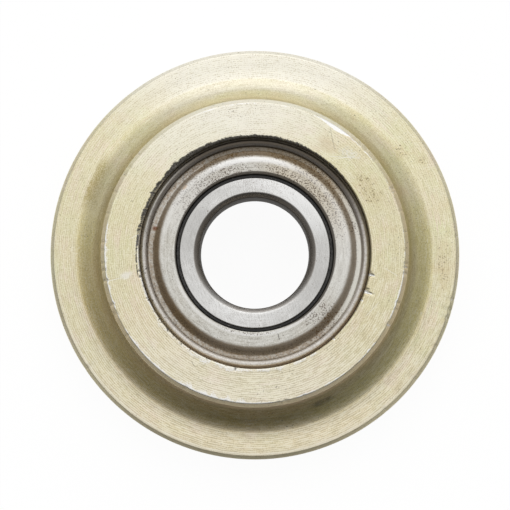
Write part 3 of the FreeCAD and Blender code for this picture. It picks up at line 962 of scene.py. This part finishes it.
def shield_grease(f):
    """Painted light on the sheet at the right and at 145°, and a painted highlight on the bend's upper
    side; old grease with painted shade lies in the step, and grease, painted shade and a painted
    highlight on the rim.
    """
    # painted light at the right and at 145°, and a painted highlight on the bend above
    f.coat((f.sector(0.0, 24.0, 18.0) + f.sector(145.0, 14.0, 14.0)) * 0.3, SHEET_LIT)
    upper = f.sector(92.0, 18.0, 18.0) * 0.6 + f.rise(f.y, -8.0, 8.0) * 0.25
    f.coat(f.band(f.r, 20.5, 21.7, 0.4) * upper, SHEET_HIGHLIGHT)
    fine = f.noise(0.28, 3.0)
    wander = (f.noise(1.0, 3.0) - 0.5) * 0.25 + (fine - 0.5) * 0.35
    left = f.sector(195.0, 35.0, 25.0)
    step = f.rise(f.r - f.y * 0.014 - f.smaller(f.y, 0.0) * 0.012 + left * 0.14 + wander, 21.2, 22.0)
    early = f.sector(140.0, 20.0, 14.0) * 0.24 - f.math("ABSOLUTE", f.y) * 0.006
    step = step * f.rise(f.r + early + wander, 23.1, 22.8)
    # grease in the step with painted shade: darker at the left and at the top, its band shifted by side
    deep = 0.67 + 0.18 * left + f.rise(f.y, 12.0, 21.0) * 0.12 + f.rise(f.y, -6.0, -18.0) * 0.06
    f.coat(step * deep, f.mix(f.rise(fine, 0.40, 0.68), STEP_BLACK, STEP_BROWN))
    rim = f.rise(f.r, 22.8, 23.1)
    shade = f.rise(f.y + (f.noise(1.5, 3.0) - 0.5) * 5.0, 12.0, 25.0)
    # on the rim: no brown film and a painted highlight at the right, grime and painted shade above,
    # painted shade at its outer edge above
    clear = f.sector(-4.0, 33.0, 15.0)
    film = f.rise(f.noise(0.55, 4.0), 0.32, 0.66)
    brown = 0.10 + 0.40 * film + 0.16 * f.rise(f.y, -14.0, -22.0) - 0.10 * f.rise(f.y, -6.0, -14.0)
    f.coat(rim * brown * (1.0 - clear), SHEET_RIM_BROWN)
    f.coat(rim * clear * 0.56, SHEET_RIM_HIGHLIGHT)
    f.coat(rim * shade * 0.72, SHEET_RIM_GRIME_AND_SHADE)
    f.coat(f.rise(f.r, 23.6, 23.95) * f.rise(f.y, 4.0, 16.0) * 0.6, SHEET_RIM_SHADE)
    return step + rim


def shield_lip(f):
    """A painted highlight on the bend's lower side, and painted shade on the lip beside the inner ring.
    """
    shine = f.band(f.r, 18.1, 18.7, 0.2) * f.rise(f.y + f.x * 0.25, -2.0, -15.0)
    f.coat(shine * 0.55, SHEET_HIGHLIGHT)
    sides = f.sector(-90.0, 18.0, 16.0) * 0.16 - f.sector(-45.0, 14.0, 12.0) * 0.1
    # painted shade on the lip, reaching further out above, and deeper painted shade on its inner side by
    # the gap
    f.coat(f.rise(f.r - f.y * 0.016 - f.x * 0.006 + sides, 18.33, 18.02) * 0.92, LIP_SHADE)
    f.coat(f.rise(f.r - f.smaller(f.y, 0.0) * 0.006, 17.9, 17.7) * 0.9, LIP_INNER_SHADE)


def shield_crumbs(f):
    """Grit and crumbs of rust, on the rim and along the lip."""
    grit = f.rise(f.noise(0.45, 2.0), 0.64, 0.70) * f.rise(f.r, 22.4, 22.8) * f.rise(f.y, -8.0, 6.0)
    f.coat(grit * 0.75, SHEET_GRIT)
    crumbs = f.sector(-96.0, 16.0, 8.0) * f.band(f.r, 17.9, 18.5, 0.2)
    crumbs = crumbs + f.sector(-115.0, 70.0, 20.0) * f.band(f.r, 21.9, 24.0, 0.3) * 0.5
    crumbs = crumbs + f.blob(22.2, 5.6, 1.9, 0.8, 105, 1.0) * 2.0
    f.coat(f.smaller(crumbs, 1.0) * f.rise(f.noise(0.42, 3.0), 0.52, 0.62) * 0.8, RUST_BLACK)


def shield_steel():
    f = Finish("shield_steel")
    grain = f.noise(0.20, 4.0)
    cloud = f.noise(4.0, 3.0)
    lines = f.turned_lines(0.3, 0.1)
    f.colour = f.mix(f.rise(cloud, 0.3, 0.7), SHEET_GREY, SHEET_LIGHT)
    tone = (lines - 0.5) * 0.8 + (grain - 0.5) * 1.4
    f.coat(f.rise(tone, 0.0, -0.32) * 0.60, SHEET_DARK)
    f.coat(f.rise(tone, 0.0, 0.32) * 0.55, SHEET_BRIGHT)
    f.coat(f.sector(48.0, 30.0, 16.0) * 0.3, SHEET_TAN)
    pits = shield_rust(f)
    greasy = shield_grease(f)
    shield_lip(f)
    shield_crumbs(f)
    rough = 0.42 + (cloud - 0.5) * 0.2 + greasy * 0.12
    return f.finish(rough, grain * 0.7 + lines * 0.3 - pits * 0.6, depth=0.014)


# Cage, balls and old grease, mostly hidden

CAGE_GREY = (0.16, 0.145, 0.12)
CAGE_OILED = (0.060, 0.048, 0.034)
CAGE_LIGHT = (0.32, 0.30, 0.27)
BALL_GREY = (0.20, 0.19, 0.17)
BALL_OILED = (0.055, 0.046, 0.034)
GREASE_BLACK = (0.010, 0.009, 0.008)
GREASE_GREY = (0.060, 0.056, 0.050)
GREASE_GLINT = (0.42, 0.38, 0.32)


def cage_steel():
    f = Finish("cage_steel")
    grain = f.noise(0.3, 3.0)
    film = f.rise(f.noise(1.6, 3.0), 0.4, 0.62)
    f.colour = f.mix(film, CAGE_GREY, CAGE_OILED)
    f.coat(f.rise(grain, 0.60, 0.80) * 0.4, CAGE_LIGHT)
    return f.finish(0.38 + film * 0.15, grain, depth=0.01)


def ball_steel():
    f = Finish("ball_steel")
    haze = f.noise(1.8, 3.0)
    f.colour = f.mix(f.rise(haze, 0.35, 0.60), BALL_GREY, BALL_OILED)
    return f.finish(0.22 + (haze - 0.4) * 0.3, f.noise(0.15, 2.0), depth=0.002)


def old_grease():
    f = Finish("old_grease")
    lumps = f.noise(0.7, 3.0)
    thick = 0.25 + f.sector(0.0, 18.0, 14.0) + f.sector(195.0, 34.0, 14.0)
    f.colour = f.mix(f.rise(lumps, 0.35, 0.65) * thick, GREASE_BLACK, GREASE_GREY)
    f.coat(f.rise(f.noise(0.5, 2.0), 0.68, 0.74) * 0.5, GREASE_GLINT)
    return f.finish(0.45 + (lumps - 0.5) * 0.2, lumps, depth=0.05, metal=0.0)


dirt = old_grease()
for bead in (rear_grease, front_grease):
    bead.data.materials.append(dirt)
    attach(bead, "wheel")

finishes = {
    "plated_steel": plated_steel(),
    "ring_steel": ring_steel(),
    "shield_steel": shield_steel(),
    "cage_steel": cage_steel(),
    "ball_steel": ball_steel(),
}
for row in frame["record"]["subparts"]:
    mesh = nodes[row["node"]].data
    mesh.materials.clear()
    mesh.materials.append(finishes[row["material_slot"]])

for piece, node, body, slot in (
    (wheel, "idler_wheel", "wheel", "plated_steel"),
    (outer_ring, "bearing_outer_ring", "wheel", "ring_steel"),
    (inner_ring, "bearing_inner_ring", "inner_ring", "ring_steel"),
    (front_shield, "front_shield", "wheel", "shield_steel"),
    (rear_shield, "rear_shield", "wheel", "shield_steel"),
):
    piece.data.materials.append(finishes[slot])
    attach(piece, body)
    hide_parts(node)


# Floor, light and camera, in metres, with lens and sensor in millimetres

FLOOR_HALF = 6.0
FLOOR_DROP = 0.0002
FLOOR_PALE = (0.8, 0.8, 0.8)
FLOOR_DIM = (0.10, 0.10, 0.10)
FLOOR_GLOW = 0.93
FLOOR_NEAR = 0.060
FLOOR_FAR = 0.085
ROOM_DARK = 0.07
ROOM_PALE = 0.80
TENT_TILT = math.radians(18.0)
TENT_START = 0.47
TENT_FULL = 0.98
TENT_GLOW = 0.54
WHITE = (1.0, 1.0, 1.0)
KEY_PLACE = Vector((0.0, 0.90, 0.42))
KEY_AIM = Vector((0.0, 0.0, 0.015))
KEY_WIDTH = 0.90
KEY_HEIGHT = 0.60
KEY_RADIANCE = 0.35
SENSOR_WIDTH = 36.0
LENS = 120.5
CAMERA_PLACE = Vector((0.0007, -0.0137, 0.40042))
CAMERA_AIM = Vector((0.000047, -0.000463, 0.0175))


def room_light(tree, direction):
    """Brightness of the room in one direction: pale on the key's side and dark opposite it."""
    parts = add_node(tree, "ShaderNodeSeparateXYZ", {0: direction})
    return add_node(tree, "ShaderNodeMapRange", {
        "Value": parts.outputs["Y"], "From Min": -1.0, "From Max": 1.0,
        "To Min": ROOM_DARK, "To Max": ROOM_PALE,
    }).outputs[0]


def pale_floor():
    """White to the eye and in the metal; a plain pale floor to all other light."""
    material = bpy.data.materials.new("pale_floor")
    material.use_nodes = True
    tree = material.node_tree
    tree.nodes.clear()
    ray = add_node(tree, "ShaderNodeLightPath").outputs
    seen = ray["Is Camera Ray"]
    for kind in ("Is Glossy Ray", "Is Transmission Ray"):
        seen = add_node(tree, "ShaderNodeMath", {0: seen, 1: ray[kind]}, operation="MAXIMUM").outputs[0]
    # reflected in the metal, the floor away from the object takes on the room's light
    place = add_node(tree, "ShaderNodeNewGeometry").outputs["Position"]
    far = add_node(tree, "ShaderNodeVectorMath", {0: place}, operation="LENGTH")
    towards = add_node(tree, "ShaderNodeVectorMath", {0: place}, operation="NORMALIZE")
    beyond = add_node(tree, "ShaderNodeMapRange", {
        "Value": far.outputs["Value"], "From Min": FLOOR_NEAR, "From Max": FLOOR_FAR,
    }, interpolation_type="SMOOTHSTEP")
    share = add_node(tree, "ShaderNodeMath", {0: beyond.outputs[0], 1: ray["Is Glossy Ray"]},
                     operation="MULTIPLY")
    level = add_node(tree, "ShaderNodeMix", {
        0: share.outputs[0], 2: FLOOR_GLOW, 3: room_light(tree, towards.outputs[0]),
    })
    glow = add_node(tree, "ShaderNodeEmission", {"Strength": level.outputs[0]})
    dim = add_node(tree, "ShaderNodeBsdfDiffuse", {"Color": FLOOR_DIM})
    pale = add_node(tree, "ShaderNodeBsdfDiffuse", {"Color": FLOOR_PALE})
    both = add_node(tree, "ShaderNodeAddShader", {0: dim.outputs[0], 1: glow.outputs[0]})
    pick = add_node(tree, "ShaderNodeMixShader", {0: seen, 1: pale.outputs[0], 2: both.outputs[0]})
    add_node(tree, "ShaderNodeOutputMaterial", {0: pick.outputs[0]})
    return material


floor_mesh = bpy.data.meshes.new("floor")
floor_corners = [(x * FLOOR_HALF, y * FLOOR_HALF, 0) for x, y in ((-1, -1), (1, -1), (1, 1), (-1, 1))]
floor_mesh.from_pydata(floor_corners, [], [(0, 1, 2, 3)])
floor_mesh.materials.append(pale_floor())
floor = bpy.data.objects.new("floor", floor_mesh)
floor.location.z = -FLOOR_DROP
bpy.context.scene.collection.objects.link(floor)

# The lamp's power follows from its radiance and its size
key_light = bpy.data.lights.new("key", "AREA")
key_light.shape = "RECTANGLE"
key_light.size = KEY_WIDTH
key_light.size_y = KEY_HEIGHT
key_light.energy = KEY_RADIANCE * math.pi * KEY_WIDTH * KEY_HEIGHT
key = bpy.data.objects.new("key", key_light)
key.location = KEY_PLACE
key.rotation_mode = "QUATERNION"
key.rotation_quaternion = (KEY_AIM - KEY_PLACE).to_track_quat("-Z", "Y")
bpy.context.scene.collection.objects.link(key)


def studio_world():
    """Soft light tent: the room's light, and brightest overhead."""
    world = bpy.data.worlds.new("studio")
    world.use_nodes = True
    tree = world.node_tree
    direction = add_node(tree, "ShaderNodeTexCoord").outputs["Generated"]
    overhead = (0.0, math.sin(TENT_TILT), math.cos(TENT_TILT))
    towards = add_node(tree, "ShaderNodeVectorMath", {0: direction, 1: overhead}, operation="DOT_PRODUCT")
    tent = add_node(tree, "ShaderNodeMapRange", {
        "Value": towards.outputs["Value"], "From Min": TENT_START, "From Max": TENT_FULL,
        "To Min": 0.0, "To Max": TENT_GLOW,
    }, interpolation_type="SMOOTHSTEP")
    both = add_node(tree, "ShaderNodeMath", {0: room_light(tree, direction), 1: tent.outputs[0]},
                    operation="ADD")
    background = tree.nodes["Background"]
    feed(tree, background.inputs["Strength"], both.outputs[0])
    feed(tree, background.inputs["Color"], WHITE)
    return world


bpy.context.scene.world = studio_world()

camera_data = bpy.data.cameras.new("camera")
camera_data.sensor_width = SENSOR_WIDTH
camera_data.lens = LENS
camera_data.dof.use_dof = False
camera = bpy.data.objects.new("camera", camera_data)
camera.location = CAMERA_PLACE
camera.rotation_mode = "QUATERNION"
back = (camera.location - CAMERA_AIM).normalized()
right = Vector((0.0, 1.0, 0.0)).cross(back).normalized()
camera.rotation_quaternion = Matrix((right, back.cross(right), back)).transposed().to_quaternion()
bpy.context.scene.collection.objects.link(camera)
bpy.context.scene.camera = camera

bpy.context.scene.view_settings.view_transform = "Standard"
